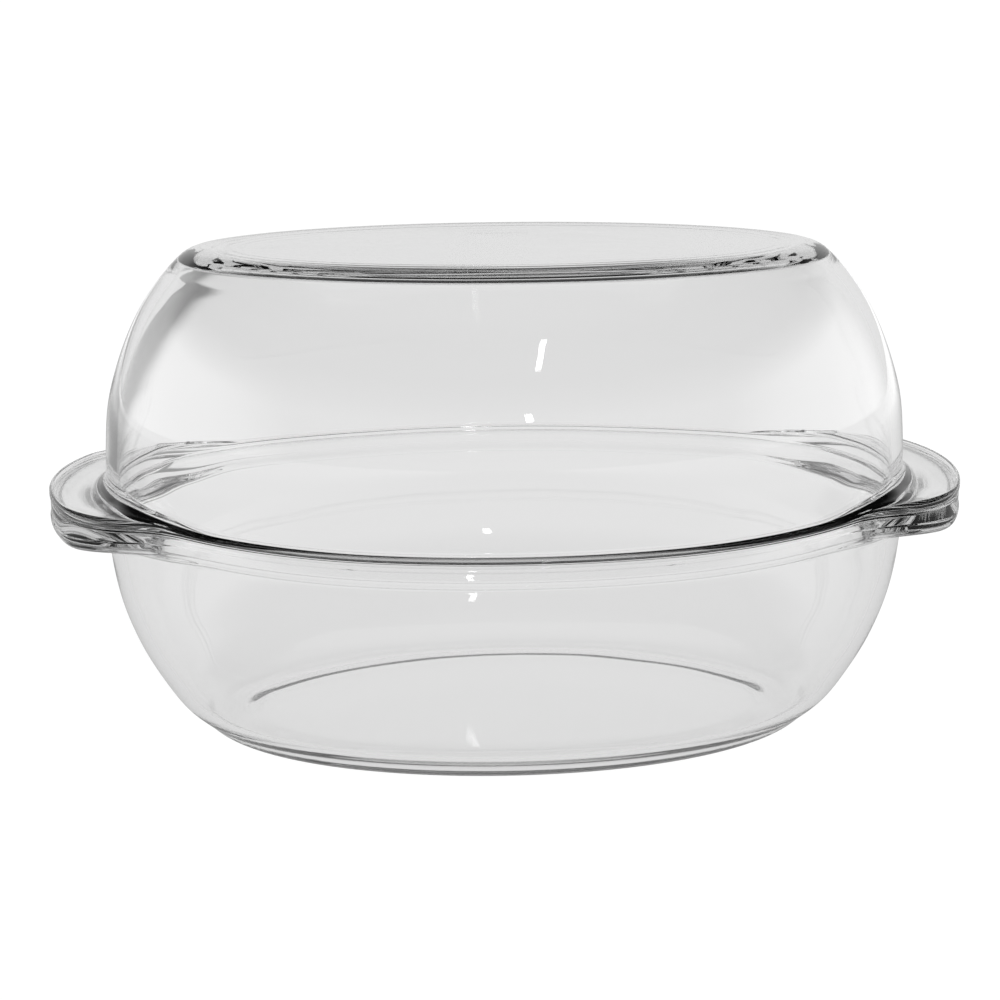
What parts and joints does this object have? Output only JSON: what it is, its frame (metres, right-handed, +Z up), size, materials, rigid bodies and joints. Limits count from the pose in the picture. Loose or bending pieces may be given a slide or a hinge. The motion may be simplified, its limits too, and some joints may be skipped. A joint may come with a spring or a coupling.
{
  "type": "covered casserole dish",
  "caption": "Deep oval glass roasting dish with a domed, flat-topped glass lid that has its own end handles and lifts off.",
  "frame": {"origin": "centre of the bounding box at the level the foot rests on", "axes": "+X along the line through the two handles, +Y across the oval, +Z up through the lid's flat top"},
  "size_m": [0.373, 0.243, 0.2],
  "materials": {
    "dish_glass": "clear pressed borosilicate, fire-polished",
    "lid_glass": "clear pressed borosilicate, fire-polished"
  },
  "bodies": {
    "dish": {"dish": "dish_glass"},
    "lid": {"lid": "lid_glass"}
  },
  "joints": [
    {"name": "lid_lift", "type": "slide", "parent": "dish", "child": "lid", "axis": [0, 0, 1], "range_m": [0, 0.15]}
  ]
}
